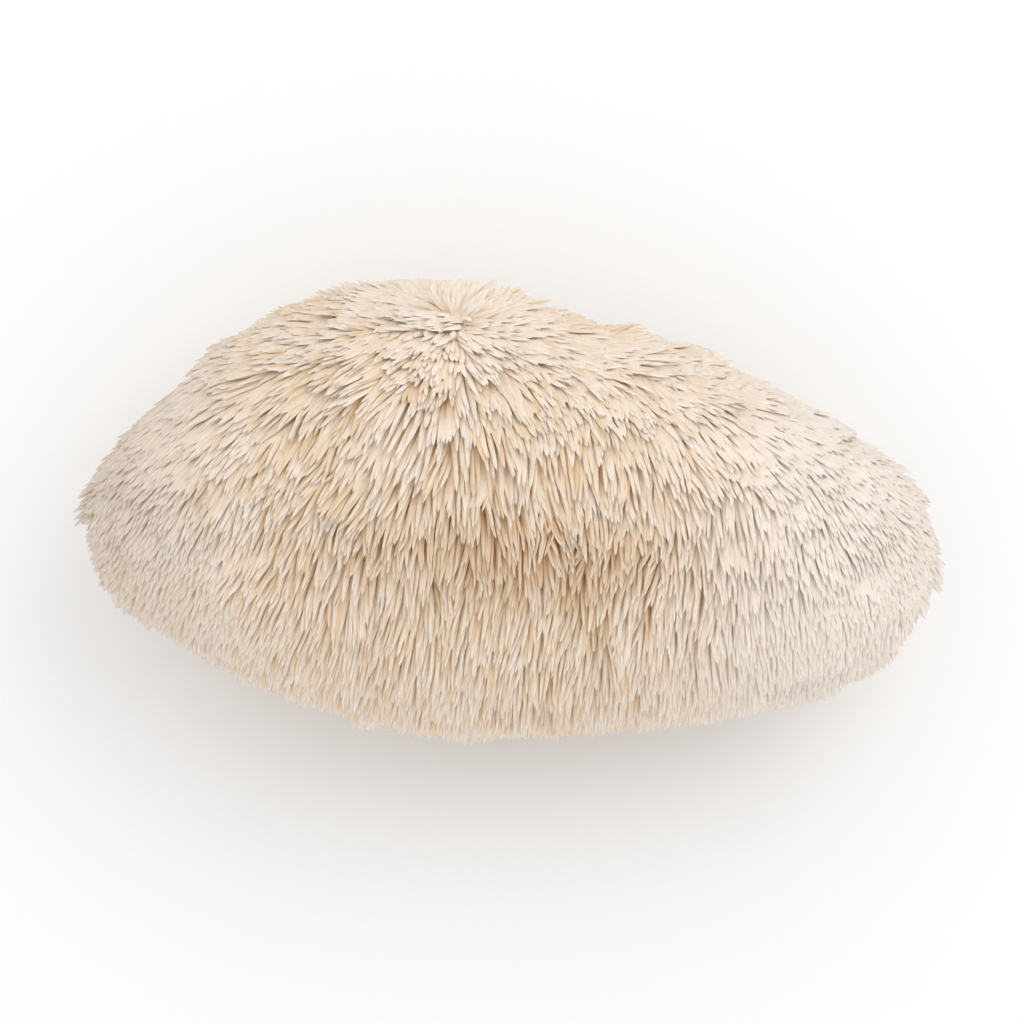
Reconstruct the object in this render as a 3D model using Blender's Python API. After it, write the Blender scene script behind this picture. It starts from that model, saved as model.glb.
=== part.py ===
"""Fruit body of a lion's mane mushroom (Hericium erinaceus), picked and trimmed, lying on its cut.

The fungus grows as one piece, so it is one solid: blended lobes and a low skirt that swell out of a short
neck. The solid reaches the tips of the hanging spines, whose locks stand on it as shallow combed ridges.
The knife cut through the neck is the flat face that it rests on. Metres, +Z up out of the cut, -Y the way
the spines hung while it grew, origin in the plane of the cut, under the middle of the body.
"""

import bmesh
import bpy
import numpy as np
from mathutils import Vector, noise

MM = 0.001

# Driving dimensions of the finished body, in millimetres.
WIDTH = 105.0
DEPTH = 57.0
HEIGHT = 48.0

# Each lobe is an egg: centre, half size in x and y, then its rise above and its drop below the centre.
# Millimetres before the body is fitted to its driving dimensions. The knife runs along z = 0.
LOBES = {
    "centre": ((-10.0, 3.5, 19.5), (32.0, 27.0), 27.5, 17.5),
    "left": ((-31.0, -0.5, 19.0), (18.0, 15.0), 20.0, 14.0),
    "right": ((27.0, -4.5, 19.0), (25.0, 19.0), 24.0, 14.5),
    "shoulder": ((16.5, 5.0, 18.0), (20.0, 17.5), 21.0, 13.0),
    "skirt": ((4.0, -9.5, 17.5), (33.0, 17.5), 19.0, 12.0),
    "neck": ((-3.0, 2.5, 7.0), (27.0, 16.5), 10.0, 14.0),
}
BLEND = 7.0  # how tightly the lobes run together: a higher value leaves deeper valleys
HEART = Vector((-1.0, -1.0, 15.0))  # every ray from here leaves the body once
SEED_HALF_SIZE = Vector((50.0, 28.0, 24.0))  # the ball that is pushed out onto the lobes
KNIFE_MARGIN = 20.0  # how far the cutter reaches past the body on each side

# Locks of spines: teardrops combed along the way they hung.
LOCK_WIDTH = 7.0
LOCK_LENGTH = 16.0
LOCK_STEEPNESS = 1.5
LOCK_RELIEF = 1.0
LOCK_FADE = (6.0, 13.0)  # heights between which the bare neck gives way to locks

BALL_SUBDIVISIONS = 6
KEPT_TRIANGLES = 0.3
RAY_REACH = 120.0
RAY_HALVINGS = 40


def egg_distance(points, centre, half_size, rise, drop):
    """0 at the egg's centre, 1 on its skin, for each row of points."""
    offset = points - np.array(centre)
    half_height = np.where(offset[:, 2] > 0, rise, drop)
    return np.sqrt(
        (offset[:, 0] / half_size[0]) ** 2
        + (offset[:, 1] / half_size[1]) ** 2
        + (offset[:, 2] / half_height) ** 2
    )


def lobe_share(points):
    """Over 1 inside the blended lobes and under 1 outside them."""
    return sum(
        np.exp(-BLEND * (egg_distance(points, *lobe) - 1.0)) for lobe in LOBES.values()
    )


def distances_to_skin(directions):
    """How far each ray from the heart runs before it leaves the body, by halving the interval."""
    near = np.zeros(len(directions))
    far = np.full(len(directions), RAY_REACH)
    for _ in range(RAY_HALVINGS):
        middle = (near + far) / 2
        inside = lobe_share(np.array(HEART) + directions * middle[:, None]) > 1.0
        near = np.where(inside, middle, near)
        far = np.where(inside, far, middle)
    return near


def lock_depth(point):
    """0 on a lock's back and up to 1 in the groove between two locks, none on the bare neck."""
    combed = Vector((point.x / LOCK_WIDTH, point.y / LOCK_LENGTH, point.z / LOCK_WIDTH))
    nearest, second = noise.voronoi(combed)[0][:2]
    low, high = LOCK_FADE
    fade = min(1.0, max(0.0, (point.z - low) / (high - low)))
    return fade * (1.0 - min(1.0, LOCK_STEEPNESS * (second - nearest)))


def fit_to_size(shell):
    """Scales the body above the knife to its driving dimensions, in metres, centred over the origin."""
    corners = np.array([vert.co for vert in shell.verts])
    low, high = corners.min(axis=0), corners.max(axis=0)
    middle = Vector(((low[0] + high[0]) / 2, (low[1] + high[1]) / 2, 0.0))
    size = (high[0] - low[0], high[1] - low[1], high[2])
    scale = Vector((WIDTH / size[0], DEPTH / size[1], HEIGHT / size[2])) * MM
    for vert in shell.verts:
        vert.co = (vert.co - middle) * scale


def make_body_mesh():
    """The whole fruit body before the cut: a ball pushed out onto the lobes and grooved into locks."""
    shell = bmesh.new()
    bmesh.ops.create_icosphere(shell, subdivisions=BALL_SUBDIVISIONS, radius=1.0)
    directions = np.array([(vert.co * SEED_HALF_SIZE).normalized() for vert in shell.verts])
    reach = distances_to_skin(directions)
    for vert, direction, distance in zip(shell.verts, directions, reach):
        vert.co = HEART + Vector(direction) * float(distance)
    shell.normal_update()
    depths = [LOCK_RELIEF * lock_depth(vert.co) for vert in shell.verts]
    for vert, depth in zip(shell.verts, depths):
        vert.co -= vert.normal * depth
    fit_to_size(shell)
    mesh = bpy.data.meshes.new("fruit_body")
    shell.to_mesh(mesh)
    shell.free()
    return mesh


def make_knife():
    """A block whose top face is the plane of the cut. It only cuts, and isn't part of the mushroom."""
    size = Vector((WIDTH + 2 * KNIFE_MARGIN, DEPTH + 2 * KNIFE_MARGIN, KNIFE_MARGIN)) * MM
    block = bmesh.new()
    bmesh.ops.create_cube(block, size=1.0)
    for vert in block.verts:
        vert.co = vert.co * size - Vector((0.0, 0.0, size.z / 2))
    mesh = bpy.data.meshes.new("knife")
    block.to_mesh(mesh)
    block.free()
    knife = bpy.data.objects.new("knife", mesh)
    knife.hide_render = True
    knife.display_type = "WIRE"
    return knife


def spine_material():
    """Cream spines: matt and slightly warm."""
    material = bpy.data.materials.new("spines")
    material.use_nodes = True
    shader = material.node_tree.nodes["Principled BSDF"]
    shader.inputs["Base Color"].default_value = (0.73, 0.58, 0.43, 1.0)
    shader.inputs["Roughness"].default_value = 0.7
    shader.inputs["Metallic"].default_value = 0.0
    return material


def make_fruit_body():
    mesh = make_body_mesh()
    mesh.materials.append(spine_material())
    mesh.shade_smooth()
    body = bpy.data.objects.new("fruit_body", mesh)
    knife = make_knife()
    for obj in (body, knife):
        bpy.context.scene.collection.objects.link(obj)
    thin_out = body.modifiers.new("Thin out", "DECIMATE")
    thin_out.ratio = KEPT_TRIANGLES
    cut = body.modifiers.new("Cut", "BOOLEAN")
    cut.operation = "DIFFERENCE"
    cut.object = knife


def clear_scene():
    for obj in list(bpy.data.objects):
        bpy.data.objects.remove(obj)


clear_scene()
make_fruit_body()
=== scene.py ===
"""Looks of a lion's mane mushroom: spongy flesh and thousands of separate soft spines, lying on its cut."""

import math

import bmesh
import bpy
import numpy as np
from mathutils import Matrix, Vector, noise
from mathutils.bvhtree import BVHTree
from mathutils.kdtree import KDTree


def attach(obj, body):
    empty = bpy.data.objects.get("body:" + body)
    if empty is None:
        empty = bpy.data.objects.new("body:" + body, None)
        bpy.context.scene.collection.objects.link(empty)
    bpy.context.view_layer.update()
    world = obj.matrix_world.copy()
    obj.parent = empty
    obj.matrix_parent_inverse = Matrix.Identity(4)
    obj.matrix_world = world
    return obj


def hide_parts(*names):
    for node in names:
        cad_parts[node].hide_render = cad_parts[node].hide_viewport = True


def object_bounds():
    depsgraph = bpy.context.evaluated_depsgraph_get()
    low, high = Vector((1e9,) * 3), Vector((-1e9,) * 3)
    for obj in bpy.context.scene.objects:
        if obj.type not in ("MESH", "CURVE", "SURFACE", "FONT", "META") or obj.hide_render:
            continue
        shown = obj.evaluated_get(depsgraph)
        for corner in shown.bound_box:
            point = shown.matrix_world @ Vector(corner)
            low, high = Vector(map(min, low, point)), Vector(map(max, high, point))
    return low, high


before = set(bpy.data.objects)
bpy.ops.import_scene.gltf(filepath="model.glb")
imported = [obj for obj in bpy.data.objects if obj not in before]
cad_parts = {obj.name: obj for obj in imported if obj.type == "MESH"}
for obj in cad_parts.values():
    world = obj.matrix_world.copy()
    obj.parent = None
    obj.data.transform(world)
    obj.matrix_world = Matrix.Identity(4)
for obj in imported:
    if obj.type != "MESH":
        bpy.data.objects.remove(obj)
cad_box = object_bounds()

MM = 0.001
SEED = 7

# Places, all from the box of the CAD body. X runs along the body, -Y is the way its spines hung while it
# grew, and +Z is up out of the cut.
low, high = (np.array(corner) for corner in cad_box)
size = high - low
centre = (low + high) / 2
half_length = size[0] / 2
HEART_HEIGHT = 0.31  # of the body's height: the point inside that the whole surface can be seen from
heart = np.array((centre[0], centre[1], low[2] + HEART_HEIGHT * size[2]))
ENDS = 0.42 * half_length, 0.72 * half_length  # how far from the middle the two ends begin, and are full

# How squarely the surface faces some way, from 0 to 1, where a change begins and where it is full.
SLEEK_FACING = 0.15, 0.55  # up or down
TALLER_FACING = 0.45, 0.95  # the front
LOWER_FACING = 0.4, 0.95  # the back
LONGER_FACING = 0.3, 0.9  # the front
HEM_FACING = 0.5, 0.9  # the front
FRONT_STIFFNESS_FACING = 0.2, 0.85  # the front or the back
TOP_STIFFNESS_FACING = 0.3, 0.9  # up or down
LOWER_PARTING = 0.65, 0.95  # against the way the spines hang, here and below
CLOSER_PARTING = 0.6, 0.9
SOFTER_PARTING = 0.7, 1.0
THICKER_PARTING = 0.4, 0.75
# where the whorl's spines are painted lighter: painted light that lifts the shade where the spines part
LIT_PARTING = 0.9, 1.0

# Flesh under the spines.
BALL_SUBDIVISIONS = 7
NUDGES = 0.0, 1e-4, -1e-4, 1e-3
SHELL_PASSES = 60  # smoothing of the shell at the spine tips
FLESH_PASSES = 6  # and of the flesh below it
NECK_DROP = 6 * MM  # the shell is drawn on this far below the cut, and cut off again
LUMP_SIZE = 3.2 * MM
LUMP_DEPTH = 0.35 * MM
LUMPS_FADE = 6 * MM, 14 * MM  # above the cut
ON_CUT = 0.05 * MM  # a point this near to the cut's plane belongs to the cut
ON_GROUND = 0.01 * MM

# Pores and rim of the cut.
PIT_SPACING = 1.5 * MM
PIT_CLUSTER = 7 * MM  # pores crowd together over this distance
PIT_STRAYING = 0.25
PIT_REACH = 1.3 * MM
SMALLEST_PIT = 0.4  # of the widest, before both are squared
PIT_DEPTH = 0.6  # of its reach
RIM_WIDTH = 4.5 * MM

# How high the spine tips stand above the flesh.
HEIGHT = 2.7 * MM
HEIGHT_IN_FRONT = 6.0 * MM  # where they hang free
HEIGHT_BEHIND = 2.0 * MM  # where they grew upwards
HEIGHT_AT_PARTING = 0.9 * MM
LEAST_HEIGHT = 0.15 * MM
SLEEK_LEFT, SLEEK_RIGHT = 0.85, 0.62  # of the height, on top of the left end and of the right one
LEFT_TO_RIGHT = -0.5, 0.5  # of the half length, where the change from left to right begins and ends
NECK = 1.5 * MM, 13 * MM  # above the cut, the spines begin and have their full height

# Spines.
SPACING = 0.55 * MM
PARTED_SPACING = 0.41 * MM  # closer where the spines part, and don't cover each other
SLEEK_CROWDING = 0.1
TRIES = 5.0  # places tried for each square of the spacing
BARE_RIM = 1.0 * MM
SIDES = 4
STATIONS = np.array((0.0, 0.25, 0.50, 0.74, 0.92))  # where the rings stand along a spine
TAPER = np.array((1.0, 1.0, 0.92, 0.74, 0.42))  # and how thick each is
ASIDE = np.array((0.123, 0.456, 0.882))  # a direction across the spines, which none of them follows
PATCH_START = np.array((0.1, 0.26))  # of the cell of the map that a spine has, where its patch lies
PATCH_SIZE = np.array((0.8, 0.64))
CAP_ON_MAP = (0.5, -0.16), (0.4, 0.08)  # where the cap of the root lies below the patch, and its reach
ROOT_RADIUS = 0.33 * MM
RADIUS_SPREAD = 0.8, 1.15
THIN_BELOW = 3 * MM  # a spine shorter than this is thinner too
THINNEST = 0.45
THICKER_AT_ENDS = 1.3
THICKER_AT_PARTING = 1.18
ROOT_SINK = 0.35 * MM
SHORTEST = 0.5 * MM
LONGEST = 8.0 * MM
LONGEST_IN_FRONT = 9.5 * MM
MISSED = 1.0 * MM  # length of a spine whose ray finds no surface
SHORTENING = 0.12
SHORTER_IN_CLEFTS = 0.3
LONGER_IN_TUFT = 0.9
BEND_CLEARANCE = 0.3 * MM
TIP_CLEARANCE = 0.4 * MM
GROUND_CLEARANCE = 0.3 * MM

# How the spines are combed.
SIDE_LEAN = -0.15
SIDE_SPREAD = 0.3  # to each end of the body
SAG = 0.8  # how much the spines lean to the ground, for each part that they lean to -Y
SAG_AT_ENDS = 0.25
STIFFNESS_AT_SIDES = 0.75
STIFFNESS_IN_FRONT = 0.5
STIFFNESS_ON_TOP = 0.32
SLEEK_SOFTENING = 0.45
PARTED_SOFTENING = 0.5
AT_ROOT, AT_TIP = 1.35, 0.70  # of the stiffness: a spine leaves the flesh steeply and droops to its tip
SLEEK_DROOP = 0.4
WEAKEST_FLOW = 0.05
CLEFT_PARTING = 0.45
CLEFT_WIDENING = 2.2
CLEFT_MIDDLE = 0.5  # of its reach, over which the spines turn from one side to the other
TUFT_LEAN = 1.2
SWIRL_SIZE = 14 * MM  # the combing wanders a little over this distance
SWIRL_SHIFTS = 90.2, -31.6, 44.8  # each direction wanders by its own stretch of the noise
SWIRL = 0.22
SOFTNESS = 1.0  # how much each spine is shaded as the surface below it

# Locks: small groups of spines that gather.
LOCK_SPACING = 2.2 * MM
LOCK_STRAYING = 0.3 * MM
WOBBLE = 0.08
SWAY = 0.06
STRETCH = 0.06
GATHERING = 0.1, 0.45
SLEEK_CALM = 0.8  # less of all that where the spines lie smoother
HEM_CALM = 0.6  # and where they hang in front

BANDS = ("under_back", "back", "crown_back", "crown_front", "front", "under_front")

# Marks, as their place on the body and their reach along it and across it. A cleft has its depth too.
CLEFTS = (
    ((-9.0 * MM, -9.5 * MM), (0.9 * MM, 2.4 * MM), 0.5),
    ((4.2 * MM, -19.5 * MM), (0.8 * MM, 1.6 * MM), 0.4),
    ((7.7 * MM, -12.0 * MM), (1.1 * MM, 3.0 * MM), 0.9),
    ((10.6 * MM, -14.0 * MM), (1.2 * MM, 3.8 * MM), 1.0),
    ((16.6 * MM, -11.5 * MM), (1.0 * MM, 2.6 * MM), 0.5),
    ((21.6 * MM, -13.5 * MM), (0.8 * MM, 2.4 * MM), 0.4),
)
# The brow is browned partly with the spines' own tan and partly with painted shadow.
SHADED_BROW = (1.0 * MM, -9.5 * MM), (18.0 * MM, 5.0 * MM)
ORANGE_STAIN = (-36.2 * MM, -1.4 * MM), (1.3 * MM, 2.2 * MM)
BROWN_FLECK = (-46.3 * MM, -5.6 * MM), (0.45 * MM, 0.45 * MM)
TUFT = (41.0 * MM, 9.0 * MM), (1.6 * MM, 1.4 * MM)
# How much each mark browns the spines: the brow with its tan and painted shadow, the stain with its own
# colour, the clefts with painted shade.
BROWN_AND_SHADE_OF_BROW, BROWN_OF_STAIN, SHADE_OF_CLEFT, MOST_BROWN_AND_SHADE = 1.3, 1.3, 0.7, 1.5
SEEN_AT = 0.65  # of the way from its root to its tip, where most of a spine is seen
EVEN_AT_ENDS = 0.6  # the two ends are this much more even in colour
# The right end is paler, partly in its own colour and partly painted light from that side.
PALE_AND_LIT_TO_RIGHT = 0.1, 0.75  # of the half length
# The left end is greyed with painted shade, darker on the side away from the light.
SHADED_TO_LEFT = 0.5, 0.85
# The whorl is painted lighter: painted light in the shade where the spines part.
LIT_AT_WHORL = 0.5
FLECK_EDGE = 0.4  # how near to the fleck's middle a spine has to be to be in it

# Colours, as linear red, green and blue. A tint multiplies what is below it.
SPINE_COLOURS = (0.84, 0.62, 0.40), (0.92, 0.79, 0.645), (0.955, 0.875, 0.80)  # root, middle and tip
SPINE_MIDDLE = 0.45
SPINE_TINT = (0.89, 0.77, 0.60)
LOCK_TINT = (0.97, 0.93, 0.87)
# Partly painted light: the right end and the whorl are made paler with this colour.
PALE_AND_LIT_COLOUR = (0.965, 0.885, 0.81)
# Painted shade on the left end.
LEFT_SHADE_TINT = (0.905, 0.89, 0.90)
# Brown tint, for real browning and for painted shadow and painted shade.
BROWN_AND_SHADE_TINT = (0.73, 0.59, 0.43)
FLECK_COLOUR = (0.66, 0.48, 0.37)
SPINE_MOTTLE_TINT = (0.96, 0.925, 0.87)
FLESH_COLOURS = (0.80, 0.66, 0.48), (0.89, 0.79, 0.64)
CUT_COLOURS = (0.78, 0.67, 0.50), (0.88, 0.81, 0.68)
RIM_TINT = (0.84, 0.66, 0.43)
KNIFE_TINT = (0.97, 0.95, 0.91)

# Grains of the materials. A mottle has its grain, and the noise at which it begins and is full.
SPINE_MOTTLE = 1.1 * MM, 0.35, 0.7
FLESH_MOTTLE = 2.5 * MM, 0.3, 0.7
CUT_MOTTLE = 1.6 * MM, 0.3, 0.7
RIM_MOTTLE = 4 * MM, 0.3, 0.65
FIBRE_GRAIN = 0.3 * MM
FLESH_GRAIN = 0.5 * MM
KNIFE_GRAIN = 0.5 * MM
KNIFE_LENGTH = 25.0  # of its lines, for each part of their width
KNIFE_LINES = 0.5, 0.75  # the noise at which a line begins and is full
BROWN_AND_SHADE_ALONG = 1.35, 0.25  # where along a spine the browning and painted shade would be none, and are full
FIBRE_ROUGHNESS = -1.2, 1.0  # the noise that would give a roughness of 0, and of 1
CUT_ROUGHNESS = -3.0, 1.6
FLESH_ROUGHNESS = 0.85
FLOOR_ROUGHNESS = 0.9
SPINE_SHINE = 0.15
SPINE_BUMP = 0.05 * MM, 0.4  # distance and strength
FLESH_BUMP = 0.2 * MM, 0.6
CUT_BUMP = 0.15 * MM, 0.5

# Studio.
FLOOR_REACH = 2.0
FLOOR_GAP = 0.1 * MM
FLOOR_COLOUR = (0.93, 0.93, 0.93)
KEY_PLACE = (0.45, 0.35, 0.9)
KEY_WIDTH = 0.8
KEY_POWER = 1.6
LENS = 200
SENSOR = 36
CAMERA_ELEVATION = math.radians(80)
BODY_IN_FRAME = 0.84  # of the picture's width
AIM_HEIGHT = 0.4  # of the body's height
LIGHT_BOUNCES = 12


def unit(vectors):
    return vectors / np.maximum(np.linalg.norm(vectors, axis=-1, keepdims=True), 1e-12)


def smoothstep(values, start, end):
    t = np.clip((values - start) / (end - start), 0.0, 1.0)
    return t * t * (3 - 2 * t)


def mix(a, b, t):
    return a + (b - a) * t


def near(places, mark):
    """How near each place is to a mark on the upper side, from 0 to 1."""
    (x, y), (along, across) = mark
    off = ((places[:, 0] - x) / along) ** 2 + ((places[:, 1] - y) / across) ** 2
    return np.exp(-off) * (places[:, 2] > heart[2])


def at_ends(places):
    """How near each place is to the two ends of the body, where the spines lie smoother, from 0 to 1."""
    return smoothstep(np.abs(places[:, 0] - centre[0]), *ENDS)


def sleek(places, normals):
    """How smooth the spines lie: most on the upper side and underside of the two ends, not at their edges."""
    return at_ends(places) * smoothstep(np.abs(normals[:, 2]), *SLEEK_FACING)


def at_parting(places, normals):
    """How squarely the surface faces against the way the spines hang: 1 in the whorl where they part."""
    return -(normals * hanging_at(places)).sum(axis=1)


def tree_of(points, triangles):
    return BVHTree.FromPolygons([Vector(p) for p in points], triangles.tolist())


def finder(points):
    """A tree that finds which of the points are nearest to a place."""
    tree = KDTree(len(points))
    for index, point in enumerate(points):
        tree.insert(point, index)
    tree.balance()
    return tree


def placed(name, data):
    """A new object in the scene."""
    thing = bpy.data.objects.new(name, data)
    bpy.context.scene.collection.objects.link(thing)
    return thing


def scattered(points, spacing):
    """Indexes of points so chosen, in order, that none is nearer to an earlier one than its spacing there."""
    spacing = np.broadcast_to(spacing, len(points))
    tree = finder(points)
    taken = np.zeros(len(points), bool)
    kept = []
    for index, point in enumerate(points):
        if taken[index]:
            continue
        kept.append(index)
        for _, other, _ in tree.find_range(point, spacing[index]):
            taken[other] = True
    return np.array(kept)


# ---------------------------------------------------------------- flesh

def ball():
    """Points and triangles of a unit ball."""
    shell = bmesh.new()
    bmesh.ops.create_icosphere(shell, subdivisions=BALL_SUBDIVISIONS, radius=1.0)
    points = np.array([vert.co for vert in shell.verts])
    triangles = np.array([[vert.index for vert in face.verts] for face in shell.faces])
    shell.free()
    return points, triangles


def smoothed(points, triangles, passes):
    """Each point drawn halfway to the mean of its neighbours, over and over."""
    start, end = np.concatenate([triangles[:, [0, 1]], triangles[:, [1, 2]], triangles[:, [2, 0]]]).T
    count = np.bincount(start, minlength=len(points))[:, None]
    for _ in range(passes):
        mean = np.stack([np.bincount(start, points[end, axis], len(points)) for axis in range(3)], 1)
        points = 0.5 * points + 0.5 * mean / count
    return points


def point_normals(points, triangles):
    a, b, c = (points[triangles[:, corner]] for corner in range(3))
    faces = np.cross(b - a, c - a)
    total = np.zeros_like(points)
    for corner in range(3):
        for axis in range(3):
            total[:, axis] += np.bincount(triangles[:, corner], faces[:, axis], len(points))
    return unit(total)


def surface_from_heart(tree, way):
    """Where the surface is, this way from the heart. A ray that slips between two faces is nudged aside."""
    for nudge in NUDGES:
        hit = tree.ray_cast(Vector(heart), Vector(way + nudge))[0]
        if hit is not None:
            return hit
    return tree.find_nearest(Vector(heart + way * size.max()))[0]


def envelope_shell():
    """The body's surface at the spine tips, smooth, with the neck running on below the cut."""
    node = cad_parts["fruit_body"].data
    node.calc_loop_triangles()
    points = np.array([vert.co for vert in node.vertices])
    triangles = np.array([tri.vertices for tri in node.loop_triangles])
    tree = tree_of(points, triangles)
    directions, ball_triangles = ball()
    directions = unit(directions * size / 2)
    shell = np.array([surface_from_heart(tree, way) for way in directions])
    on_cut = shell[:, 2] < low[2] + ON_CUT
    shell[on_cut, 2] -= NECK_DROP
    return smoothed(shell, ball_triangles, SHELL_PASSES), ball_triangles, tree


def spine_height(points, normals):
    """How far the tips stand above the flesh: most where the spines hang free, least where they part."""
    height = np.full(len(points), HEIGHT)
    height = mix(height, HEIGHT_IN_FRONT, smoothstep(-normals[:, 1], *TALLER_FACING))
    height = mix(height, HEIGHT_BEHIND, smoothstep(normals[:, 1], *LOWER_FACING))
    to_right = smoothstep((points[:, 0] - centre[0]) / half_length, *LEFT_TO_RIGHT)
    height = height * mix(1.0, mix(SLEEK_LEFT, SLEEK_RIGHT, to_right), sleek(points, normals))
    height = mix(height, HEIGHT_AT_PARTING, smoothstep(at_parting(points, normals), *LOWER_PARTING))
    height = height * smoothstep(points[:, 2], *NECK)
    return height + LEAST_HEIGHT


def lumps(points):
    """Shallow lumps of the bare neck, which fade out under the spines."""
    heights = np.array([noise.noise(Vector(point) / LUMP_SIZE) for point in points])
    return heights * LUMP_DEPTH * (1 - smoothstep(points[:, 2], *LUMPS_FADE))


def pit_cut(flesh, cut_faces, rng):
    """Small open pores in the cut, pressed up into the flesh. They leave its rim flat."""
    edges = dict.fromkeys(edge for face in cut_faces for edge in face.edges)
    bmesh.ops.subdivide_edges(flesh, edges=list(edges), cuts=1, use_grid_fill=True)
    inner = [vert for vert in flesh.verts if all(on_ground(face) for face in vert.link_faces)]
    places = np.array([vert.co for vert in inner])
    places = places[rng.permutation(len(places))]
    pits = places[scattered(places, PIT_SPACING)]
    crowding = np.array([noise.noise(Vector(pit) / PIT_CLUSTER) for pit in pits])
    pits = pits[crowding + rng.normal(0, PIT_STRAYING, len(pits)) > 0]
    radii = rng.uniform(SMALLEST_PIT, 1.0, len(pits)) ** 2 * PIT_REACH
    tree = finder(pits)
    for vert in inner:
        _, index, apart = tree.find(vert.co)
        vert.co.z += PIT_DEPTH * radii[index] * float(smoothstep(1 - apart / radii[index], 0.0, 1.0))


def on_ground(face):
    return all(vert.co.z < low[2] + ON_GROUND for vert in face.verts)


def make_flesh(shell, triangles, rng):
    """The body under the spines, cut off flat at the ground."""
    normals = point_normals(shell, triangles)
    points = shell - normals * spine_height(shell, normals)[:, None]
    points = smoothed(points, triangles, FLESH_PASSES)
    points += normals * lumps(points)[:, None]
    flesh = bmesh.new()
    verts = [flesh.verts.new(point) for point in points]
    for triangle in triangles:
        flesh.faces.new([verts[i] for i in triangle])
    everything = flesh.verts[:] + flesh.edges[:] + flesh.faces[:]
    bmesh.ops.bisect_plane(flesh, geom=everything, plane_co=(0, 0, low[2]), plane_no=(0, 0, -1))
    for vert in flesh.verts:
        vert.co.z = max(vert.co.z, low[2])
    cut_faces = [face for face in flesh.faces if on_ground(face)]
    for face in cut_faces:
        face.material_index = 1
    pit_cut(flesh, cut_faces, rng)
    bmesh.ops.triangulate(flesh, faces=flesh.faces[:])
    for face in flesh.faces:
        face.smooth = True
    for edge in flesh.edges:
        if len({face.material_index for face in edge.link_faces}) > 1:
            edge.smooth = False
    mesh = bpy.data.meshes.new("flesh")
    flesh.to_mesh(mesh)
    flesh.free()
    piece = placed("flesh", mesh)
    mark_rim(mesh)
    return piece


def mark_rim(mesh):
    """Stores how near each point is to the rim of the cut, from 0 to 1, for the browned edge."""
    places = np.array([vert.co for vert in mesh.vertices])
    rim = {index for edge in mesh.edges if edge.use_edge_sharp for index in edge.vertices}
    tree = finder(places[sorted(rim)])
    apart = np.array([tree.find(place)[2] for place in places])
    layer = mesh.attributes.new("rim", "FLOAT", "POINT")
    layer.data.foreach_set("value", (1 - smoothstep(apart, 0.0, RIM_WIDTH)).astype(np.float32))


# ---------------------------------------------------------------- spines

def spine_roots(piece, rng):
    """Places spread evenly over the flesh, away from the cut, with the surface normal at each."""
    mesh = piece.data
    points = np.array([vert.co for vert in mesh.vertices])
    mesh.calc_loop_triangles()
    triangles = np.array([tri.vertices for tri in mesh.loop_triangles])
    normals = point_normals(points, triangles)
    corners = points[triangles]
    grown = corners[:, :, 2].min(axis=1) > low[2] + BARE_RIM
    area = np.linalg.norm(np.cross(corners[:, 1] - corners[:, 0], corners[:, 2] - corners[:, 0]), axis=1) / 2
    area = area * grown
    tries = int(TRIES * area.sum() / SPACING**2)
    chosen = rng.choice(len(triangles), tries, p=area / area.sum())
    a, b = rng.random((2, tries, 1))
    flip = a + b > 1
    a, b = np.where(flip, 1 - a, a), np.where(flip, 1 - b, b)
    weights = np.stack([1 - a - b, a, b], axis=1)
    roots = (corners[chosen] * weights).sum(axis=1)
    root_normals = unit((normals[triangles[chosen]] * weights).sum(axis=1))
    parted = smoothstep(at_parting(roots, root_normals), *CLOSER_PARTING)
    spacing = mix(SPACING, PARTED_SPACING, parted) * (1 - SLEEK_CROWDING * sleek(roots, root_normals))
    kept = scattered(roots, spacing)
    return roots[kept], root_normals[kept], tree_of(points, triangles)


def swirl_at(roots):
    """Three separate noises at each root, one for each direction."""
    spots = roots / SWIRL_SIZE
    return np.array([[noise.noise(Vector(spot + shift)) for shift in SWIRL_SHIFTS] for spot in spots])


def hanging_at(roots):
    """The way the spines hang: to -Y and the ground, spread to the two ends, and parted at the clefts."""
    across = (roots[:, 0] - centre[0]) / half_length
    side = SIDE_LEAN + SIDE_SPREAD * across
    for (x, y), (reach, length), depth in CLEFTS:
        beside = (x, y), (CLEFT_WIDENING * reach, length)
        away = np.tanh((roots[:, 0] - x) / (CLEFT_MIDDLE * reach))
        side = side + CLEFT_PARTING * depth * away * near(roots, beside)
    side = side + TUFT_LEAN * near(roots, TUFT)
    down = np.full(len(roots), -1.0)
    sag = mix(SAG, SAG_AT_ENDS, at_ends(roots))
    return unit(np.stack([side, down, sag * down], 1) + SWIRL * swirl_at(roots))


def cleft_depth(roots):
    """How deep in a cleft each root is, from 0 to 1."""
    return np.max([depth * near(roots, (place, reach)) for place, reach, depth in CLEFTS], axis=0)


def combed(normals, hanging, stiffness):
    """Directions along the surface the way the spines hang, raised out of it by their stiffness."""
    drop = (hanging * normals).sum(axis=1)
    flow = hanging - normals * drop[:, None]
    flow = flow / mix(WEAKEST_FLOW, 1.0, np.linalg.norm(flow, axis=1))[:, None]
    return unit(flow + normals * (np.maximum(drop, 0.0) + stiffness)[:, None])


def spine_stiffness(places, normals):
    """Spines stand out at the edges of the body, and lie flat where it faces up or down."""
    to_front = smoothstep(np.abs(normals[:, 1]), *FRONT_STIFFNESS_FACING)
    edge = mix(STIFFNESS_AT_SIDES, STIFFNESS_IN_FRONT, to_front)
    stiffness = mix(edge, STIFFNESS_ON_TOP, smoothstep(np.abs(normals[:, 2]), *TOP_STIFFNESS_FACING))
    stiffness = stiffness * (1 - SLEEK_SOFTENING * sleek(places, normals))
    parted = smoothstep(at_parting(places, normals), *SOFTER_PARTING)
    return stiffness * (1 - PARTED_SOFTENING * parted)


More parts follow.
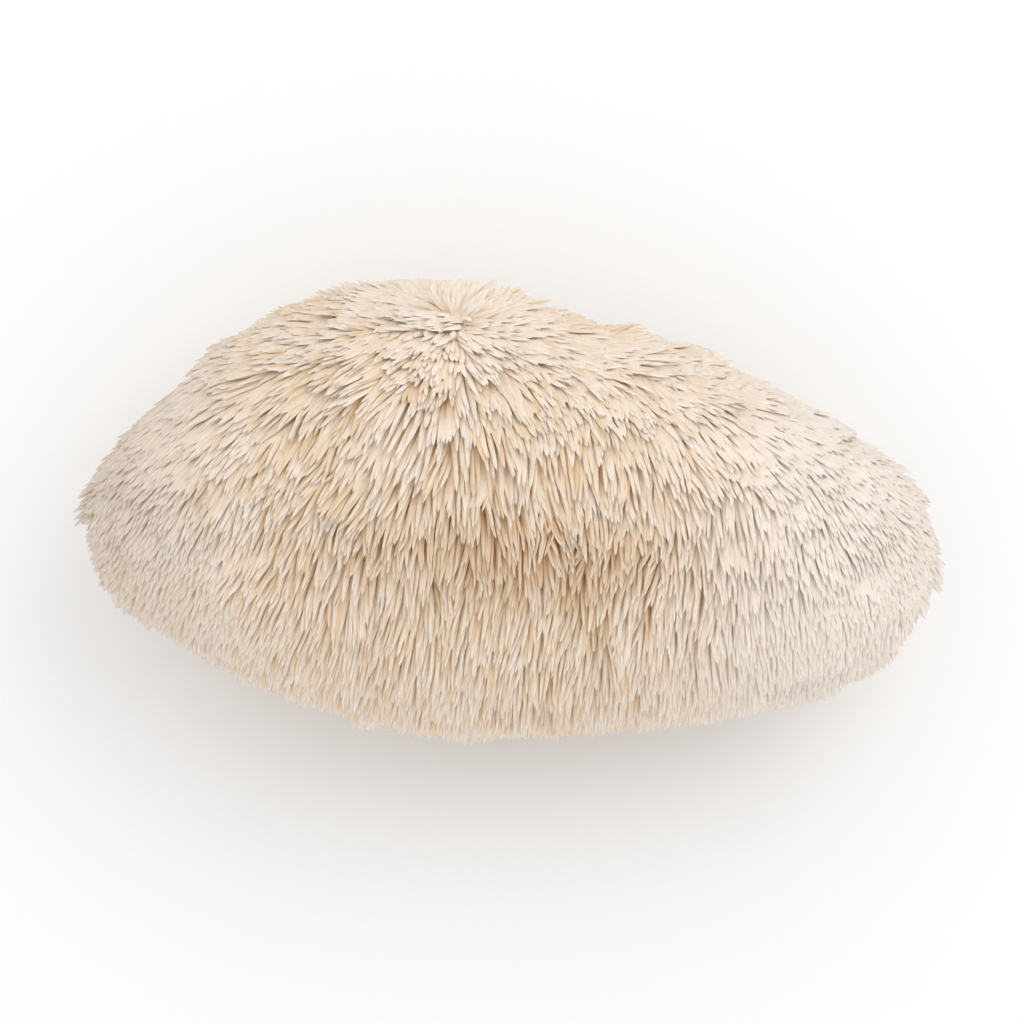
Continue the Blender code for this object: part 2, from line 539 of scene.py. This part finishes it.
def locks_of(roots, rng):
    """The lock that each spine belongs to, and the root at the middle of each lock."""
    centres = scattered(roots, LOCK_SPACING)
    tree = finder([roots[middle] + rng.normal(0, LOCK_STRAYING, 3) for middle in centres])
    return np.array([tree.find(root)[1] for root in roots]), centres


def reach_of(roots, way, envelope):
    """How far each spine can go its way before it leaves the body."""
    reach = np.full(len(roots), MISSED)
    for index, (root, direction) in enumerate(zip(roots, way)):
        hit = envelope.ray_cast(Vector(root), Vector(direction))[3]
        if hit is not None:
            reach[index] = hit
    return reach


def spine_curves(roots, normals, envelope, rng):
    """Bend and tip of each spine, its length, the lock that it belongs to, and the number of locks."""
    count = len(roots)
    hanging = hanging_at(roots)
    stiffness = spine_stiffness(roots, normals)
    hem = smoothstep(-normals[:, 1], *HEM_FACING)
    ruffled = (1 - SLEEK_CALM * sleek(roots, normals)) * (1 - HEM_CALM * hem)
    wobble = rng.normal(0.0, WOBBLE, (count, 3)) * ruffled[:, None]
    start = unit(combed(normals, hanging, AT_ROOT * stiffness) + wobble)
    droop = AT_TIP * (1 - SLEEK_DROOP * sleek(roots, normals))
    finish = unit(combed(normals, hanging, droop * stiffness) + wobble)
    way = unit(start + finish)
    longest = mix(LONGEST, LONGEST_IN_FRONT, smoothstep(-normals[:, 1], *LONGER_FACING))
    length = np.clip(reach_of(roots, way, envelope), SHORTEST, longest)
    length = length * (1 - rng.uniform(0.0, SHORTENING, count) * ruffled)
    length = length * (1 - SHORTER_IN_CLEFTS * cleft_depth(roots)) * (1 + LONGER_IN_TUFT * near(roots, TUFT))

    lock, centres = locks_of(roots, rng)
    sway = rng.normal(0.0, SWAY, (len(centres), 3))
    stretch = rng.normal(0.0, STRETCH, len(centres))
    tips = roots + way * (length * (1 + stretch[lock] * ruffled))[:, None]
    tips += sway[lock] * (length * ruffled)[:, None]
    apart = tips[centres][lock] - tips
    apart -= way * (apart * way).sum(axis=1)[:, None]
    gather = rng.uniform(*GATHERING, count) * ruffled
    tips = tips + apart * gather[:, None]
    bends = roots + start * length[:, None] * 0.5
    return bends, tips, length, lock, len(centres)


def lifted(points, clearance, flesh_tree):
    """Points that are at least the clearance above the flesh and above the ground."""
    out = points.copy()
    for index, point in enumerate(points):
        near_point, normal, _, _ = flesh_tree.find_nearest(Vector(point))
        depth = (Vector(point) - near_point).dot(normal)
        if depth < clearance:
            out[index] = np.array(Vector(point) + normal * (clearance - depth))
    out[:, 2] = np.maximum(out[:, 2], low[2] + GROUND_CLEARANCE)
    return out


def spine_template():
    """One spine's faces as lists of corners, and where each corner lies on the spine's patch of the map.

    A patch runs from 0 to 1 both ways, and the cap that closes the root lies in a strip below it.
    """
    rings = len(STATIONS)
    tip = rings * SIDES
    faces, places = [], []
    for ring in range(rings - 1):
        for side in range(SIDES):
            after = (side + 1) % SIDES
            faces.append([ring * SIDES + side, ring * SIDES + after,
                          (ring + 1) * SIDES + after, (ring + 1) * SIDES + side])
            v, w = STATIONS[ring], STATIONS[ring + 1]
            places.append([(side / SIDES, v), ((side + 1) / SIDES, v),
                           ((side + 1) / SIDES, w), (side / SIDES, w)])
    last = (rings - 1) * SIDES
    for side in range(SIDES):
        faces.append([last + side, last + (side + 1) % SIDES, tip])
        places.append([(side / SIDES, STATIONS[-1]), ((side + 1) / SIDES, STATIONS[-1]),
                       ((side + 0.5) / SIDES, 1.0)])
    faces.append(list(range(SIDES))[::-1])
    turns = [2 * math.pi * side / SIDES for side in range(SIDES)]
    (x, y), (width, height) = CAP_ON_MAP
    places.append([(x - width * math.cos(turn), y + height * math.sin(turn)) for turn in turns])
    return faces, places


def lay_map(mesh, places, count):
    """Gives each spine a square cell of its own on the map named OFBake."""
    across = math.ceil(math.sqrt(count))
    corners = np.array([place for face in places for place in face])
    corners = PATCH_START + PATCH_SIZE * corners
    cells = np.stack([np.arange(count) % across, np.arange(count) // across], 1)
    layer = mesh.uv_layers.new(name="OFBake")
    spots = (cells[:, None] + corners[None]) / across
    layer.uv.foreach_set("vector", spots.astype(np.float32).ravel())


def make_spines(name, roots, normals, bends, tips, radius, marks):
    """One joined mesh of spines, each a tapering closed rod of a few rings and a point."""
    count = len(roots)
    t = STATIONS[None, :, None]
    rings = (1 - t) ** 2 * roots[:, None] + 2 * t * (1 - t) * bends[:, None] + t**2 * tips[:, None]
    along = unit(np.diff(np.concatenate([rings, tips[:, None]], axis=1), axis=1))
    across = unit(np.cross(along, ASIDE))
    third = np.cross(along, across)
    angle = np.arange(SIDES) * 2 * np.pi / SIDES
    circle = (
        across[:, :, None] * np.cos(angle)[None, None, :, None]
        + third[:, :, None] * np.sin(angle)[None, None, :, None]
    )
    body = rings[:, :, None] + circle * (radius[:, None] * TAPER)[:, :, None, None]
    points = np.concatenate([body.reshape(count, -1, 3), tips[:, None]], axis=1).reshape(-1, 3)
    per_spine = len(STATIONS) * SIDES + 1

    faces, places = spine_template()
    corners = np.array([corner for face in faces for corner in face])
    loops = (corners[None] + np.arange(count)[:, None] * per_spine).ravel()
    sizes = np.tile([len(face) for face in faces], count)
    starts = np.concatenate([[0], np.cumsum(sizes)[:-1]])

    mesh = bpy.data.meshes.new(name)
    mesh.vertices.add(len(points))
    mesh.vertices.foreach_set("co", points.ravel())
    mesh.loops.add(len(loops))
    mesh.loops.foreach_set("vertex_index", loops)
    mesh.polygons.add(len(sizes))
    mesh.polygons.foreach_set("loop_start", starts)
    mesh.polygons.foreach_set("loop_total", sizes)
    mesh.update(calc_edges=True)
    mesh.shade_smooth()
    lay_map(mesh, places, count)
    facing = unit(circle + SOFTNESS * normals[:, None, None])
    facing = np.concatenate([facing.reshape(count, -1, 3), normals[:, None]], axis=1)
    mesh.normals_split_custom_set_from_vertices(facing.reshape(-1, 3).tolist())

    marks = {label: np.repeat(values, per_spine) for label, values in marks.items()}
    marks["along"] = np.tile(np.r_[np.repeat(STATIONS, SIDES), 1.0], count)
    for label, values in marks.items():
        layer = mesh.attributes.new(label, "FLOAT", "POINT")
        layer.data.foreach_set("value", values.astype(np.float32))

    return placed(name, mesh)


def band_of(roots):
    """Which band round the body's length each root is in. All bands hold the same number of spines."""
    up, back = roots[:, 2] - heart[2], roots[:, 1] - heart[1]
    turn = (np.arctan2(up, back) + np.pi / 2) % (2 * np.pi)
    rank = np.empty(len(roots), int)
    rank[np.argsort(turn)] = np.arange(len(roots))
    return rank * len(BANDS) // len(roots)


def browning_and_shade(roots, seen):
    """How brown each spine is, with painted shadow at the brow and painted shade in the clefts, by where its
    root is and where most of it is seen. It can pass 1.
    """
    brown_and_shade = BROWN_AND_SHADE_OF_BROW * near(seen, SHADED_BROW) + BROWN_OF_STAIN * near(seen, ORANGE_STAIN)
    # The clefts are browned with painted shade in the recess.
    brown_and_shade = brown_and_shade + SHADE_OF_CLEFT * cleft_depth(roots)
    return np.clip(brown_and_shade, 0.0, MOST_BROWN_AND_SHADE)


def marks_of(roots, normals, tips, lock, locks, rng):
    """The values, one a spine, that its material reads: tints, paleness with painted light, painted shade on
    the left, browning with painted shade, and the fleck.
    """
    seen = mix(roots, tips, SEEN_AT)
    along_body = (roots[:, 0] - centre[0]) / half_length
    uneven = 1 - EVEN_AT_ENDS * at_ends(roots)
    # Painted light in the whorl's shade.
    lit_whorl = smoothstep(at_parting(roots, normals), *LIT_PARTING)
    return {
        "tint": rng.random(len(roots)) ** 3 * uneven,
        "lock": rng.random(locks)[lock] * uneven,
        "pale_and_lit": np.maximum(smoothstep(along_body, *PALE_AND_LIT_TO_RIGHT), LIT_AT_WHORL * lit_whorl),
        "left_shade": smoothstep(-along_body, *SHADED_TO_LEFT),
        "brown_and_shade": browning_and_shade(roots, seen),
        "fleck": (near(seen, BROWN_FLECK) > FLECK_EDGE) * 1.0,
    }


def spine_radius(roots, normals, length, rng):
    """Thickness at the root: thinner on short spines, and thicker at the two ends and at the parting."""
    radius = ROOT_RADIUS * rng.uniform(*RADIUS_SPREAD, len(roots))
    radius = radius * np.clip(length / THIN_BELOW, THINNEST, 1.0)
    parted = smoothstep(at_parting(roots, normals), *THICKER_PARTING)
    return radius * mix(1.0, THICKER_AT_ENDS, at_ends(roots)) * mix(1.0, THICKER_AT_PARTING, parted)


# ---------------------------------------------------------------- materials

def new_material(name):
    material = bpy.data.materials.new(name)
    material.use_nodes = True
    return material, material.node_tree, material.node_tree.nodes["Principled BSDF"]


def attribute(tree, name):
    node = tree.nodes.new("ShaderNodeAttribute")
    node.attribute_name = name
    return node.outputs["Fac"]


def ramp(tree, value, stops):
    """A colour ramp with one stop for each place and colour."""
    stops = list(stops)
    node = tree.nodes.new("ShaderNodeValToRGB")
    elements = node.color_ramp.elements
    while len(elements) < len(stops):
        elements.new(0.5)
    for element, (place, colour) in zip(elements, stops):
        element.position = place
        element.color = (*colour, 1)
    tree.links.new(value, node.inputs["Fac"])
    return node.outputs["Color"]


def tinted(tree, colour, amount, tint, blend="MULTIPLY"):
    """The colour, multiplied by the tint or mixed with it by the amount."""
    node = tree.nodes.new("ShaderNodeMix")
    node.data_type = "RGBA"
    node.blend_type = blend
    node.inputs["B"].default_value = (*tint, 1)
    tree.links.new(amount, node.inputs["Factor"])
    tree.links.new(colour, node.inputs["A"])
    return node.outputs["Result"]


def noise_at(tree, grain, stretch=1.0):
    """Noise with grains of about this size, from 0 to 1, longer by the stretch along the body."""
    place = tree.nodes.new("ShaderNodeTexCoord")
    scaled = tree.nodes.new("ShaderNodeMapping")
    scaled.inputs["Scale"].default_value = (1 / grain / stretch, 1 / grain, 1 / grain)
    node = tree.nodes.new("ShaderNodeTexNoise")
    node.inputs["Scale"].default_value = 1.0
    node.inputs["Detail"].default_value = 3.0
    tree.links.new(place.outputs["Object"], scaled.inputs["Vector"])
    tree.links.new(scaled.outputs["Vector"], node.inputs["Vector"])
    return node.outputs["Fac"]


def spread(tree, value, start, end):
    """The value stretched so that start gives 0 and end gives 1."""
    node = tree.nodes.new("ShaderNodeMapRange")
    node.inputs["From Min"].default_value = start
    node.inputs["From Max"].default_value = end
    tree.links.new(value, node.inputs["Value"])
    return node.outputs["Result"]


def mottled(tree, grain, start, end):
    """Noise with grains of about this size, stretched so that start gives 0 and end gives 1."""
    return spread(tree, noise_at(tree, grain), start, end)


def times(tree, one, other):
    node = tree.nodes.new("ShaderNodeMath")
    node.operation = "MULTIPLY"
    tree.links.new(one, node.inputs[0])
    tree.links.new(other, node.inputs[1])
    return node.outputs["Value"]


def bumped(tree, shader, height, distance, strength):
    node = tree.nodes.new("ShaderNodeBump")
    node.inputs["Strength"].default_value = strength
    node.inputs["Distance"].default_value = distance
    tree.links.new(height, node.inputs["Height"])
    tree.links.new(node.outputs["Normal"], shader.inputs["Normal"])


def spine_material():
    """Matt cream spines, browner at the root, with the marks that their mesh carries, painted light and shade
    among them.
    """
    material, tree, shader = new_material("spine_look")
    along = attribute(tree, "along")
    colour = ramp(tree, along, zip((0.0, SPINE_MIDDLE, 1.0), SPINE_COLOURS))
    colour = tinted(tree, colour, attribute(tree, "tint"), SPINE_TINT)
    colour = tinted(tree, colour, attribute(tree, "lock"), LOCK_TINT)
    # Paler towards the right end and in the whorl: partly own colour, partly painted light.
    colour = tinted(tree, colour, attribute(tree, "pale_and_lit"), PALE_AND_LIT_COLOUR, "MIX")
    # Painted shade, greyer towards the left end.
    colour = tinted(tree, colour, attribute(tree, "left_shade"), LEFT_SHADE_TINT)
    # Browning, with painted shadow at the brow and painted shade in the clefts, strongest towards the root.
    deep_brown_and_shade = times(tree, attribute(tree, "brown_and_shade"), spread(tree, along, *BROWN_AND_SHADE_ALONG))
    colour = tinted(tree, colour, deep_brown_and_shade, BROWN_AND_SHADE_TINT)
    colour = tinted(tree, colour, attribute(tree, "fleck"), FLECK_COLOUR, "MIX")
    colour = tinted(tree, colour, mottled(tree, *SPINE_MOTTLE), SPINE_MOTTLE_TINT)
    tree.links.new(colour, shader.inputs["Base Color"])
    fibre = noise_at(tree, FIBRE_GRAIN)
    tree.links.new(spread(tree, fibre, *FIBRE_ROUGHNESS), shader.inputs["Roughness"])
    shader.inputs["Specular IOR Level"].default_value = SPINE_SHINE
    bumped(tree, shader, fibre, *SPINE_BUMP)
    return material


def flesh_material():
    """Matt mottled flesh under the spines and on the bare neck."""
    material, tree, shader = new_material("flesh_look")
    colour = ramp(tree, mottled(tree, *FLESH_MOTTLE), zip((0.0, 1.0), FLESH_COLOURS))
    tree.links.new(colour, shader.inputs["Base Color"])
    shader.inputs["Roughness"].default_value = FLESH_ROUGHNESS
    bumped(tree, shader, noise_at(tree, FLESH_GRAIN), *FLESH_BUMP)
    return material


def cut_material():
    """Moist white flesh with a browned rim and the fine drag lines of the knife."""
    material, tree, shader = new_material("cut_look")
    mottle = mottled(tree, *CUT_MOTTLE)
    colour = ramp(tree, mottle, zip((0.0, 1.0), CUT_COLOURS))
    browned = times(tree, attribute(tree, "rim"), mottled(tree, *RIM_MOTTLE))
    colour = tinted(tree, colour, browned, RIM_TINT)
    knife = noise_at(tree, KNIFE_GRAIN, KNIFE_LENGTH)
    colour = tinted(tree, colour, spread(tree, knife, *KNIFE_LINES), KNIFE_TINT)
    tree.links.new(colour, shader.inputs["Base Color"])
    tree.links.new(spread(tree, mottle, *CUT_ROUGHNESS), shader.inputs["Roughness"])
    bumped(tree, shader, knife, *CUT_BUMP)
    return material


# ---------------------------------------------------------------- stage

def make_stage():
    plane = bmesh.new()
    bmesh.ops.create_grid(plane, x_segments=1, y_segments=1, size=FLOOR_REACH)
    mesh = bpy.data.meshes.new("floor")
    plane.to_mesh(mesh)
    plane.free()
    floor = placed("floor", mesh)
    floor.location.z = low[2] - FLOOR_GAP
    material, _, shader = new_material("floor_look")
    shader.inputs["Base Color"].default_value = (*FLOOR_COLOUR, 1)
    shader.inputs["Roughness"].default_value = FLOOR_ROUGHNESS
    mesh.materials.append(material)


def aim(obj, target):
    obj.rotation_mode = "QUATERNION"
    obj.rotation_quaternion = (Vector(target) - obj.location).to_track_quat("-Z", "Y")


def make_light(name, place, width, power):
    lamp = bpy.data.lights.new(name, "AREA")
    lamp.shape = "DISK"
    lamp.size = width
    lamp.energy = power
    light = placed(name, lamp)
    light.location = place
    aim(light, centre)


def make_lights():
    world = bpy.data.worlds.new("studio")
    world.use_nodes = True
    world.node_tree.nodes["Background"].inputs["Color"].default_value = (1, 1, 1, 1)
    world.node_tree.nodes["Background"].inputs["Strength"].default_value = 1.0
    bpy.context.scene.world = world
    make_light("key", KEY_PLACE, KEY_WIDTH, KEY_POWER)
    bpy.context.scene.view_settings.view_transform = "Standard"
    bpy.context.scene.cycles.diffuse_bounces = LIGHT_BOUNCES


def make_camera():
    """Looks down on the body from its front, as far off as its length needs."""
    camera = bpy.data.cameras.new("camera")
    camera.lens = LENS
    camera.sensor_width = SENSOR
    eye = placed("camera", camera)
    half_view = math.atan(camera.sensor_width / 2 / camera.lens)
    distance = float(size[0]) / BODY_IN_FRAME / 2 / math.tan(half_view)
    target = Vector((centre[0], centre[1], low[2] + AIM_HEIGHT * size[2]))
    way = Vector((0, -math.cos(CAMERA_ELEVATION), math.sin(CAMERA_ELEVATION)))
    eye.location = target + distance * way
    aim(eye, target)
    bpy.context.scene.camera = eye


# ---------------------------------------------------------------- build

shell, shell_triangles, envelope = envelope_shell()
flesh = make_flesh(shell, shell_triangles, np.random.default_rng(SEED))
flesh.data.materials.append(flesh_material())
flesh.data.materials.append(cut_material())
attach(flesh, "root")
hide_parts("fruit_body")

rng = np.random.default_rng(SEED)
roots, normals, flesh_tree = spine_roots(flesh, rng)
bends, tips, length, lock, locks = spine_curves(roots, normals, envelope, rng)
bends = lifted(bends, BEND_CLEARANCE, flesh_tree)
tips = lifted(tips, TIP_CLEARANCE, flesh_tree)
radius = spine_radius(roots, normals, length, rng)
marks = marks_of(roots, normals, tips, lock, locks, rng)
band = band_of(roots)
sunk = roots - normals * ROOT_SINK
spine_look = spine_material()
for index, place in enumerate(BANDS):
    here = band == index
    marks_here = {label: values[here] for label, values in marks.items()}
    piece = make_spines(
        "spines_" + place, sunk[here], normals[here], bends[here], tips[here], radius[here], marks_here
    )
    piece.data.materials.append(spine_look)
    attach(piece, "root")
    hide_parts("fruit_body")

make_stage()
make_lights()
make_camera()
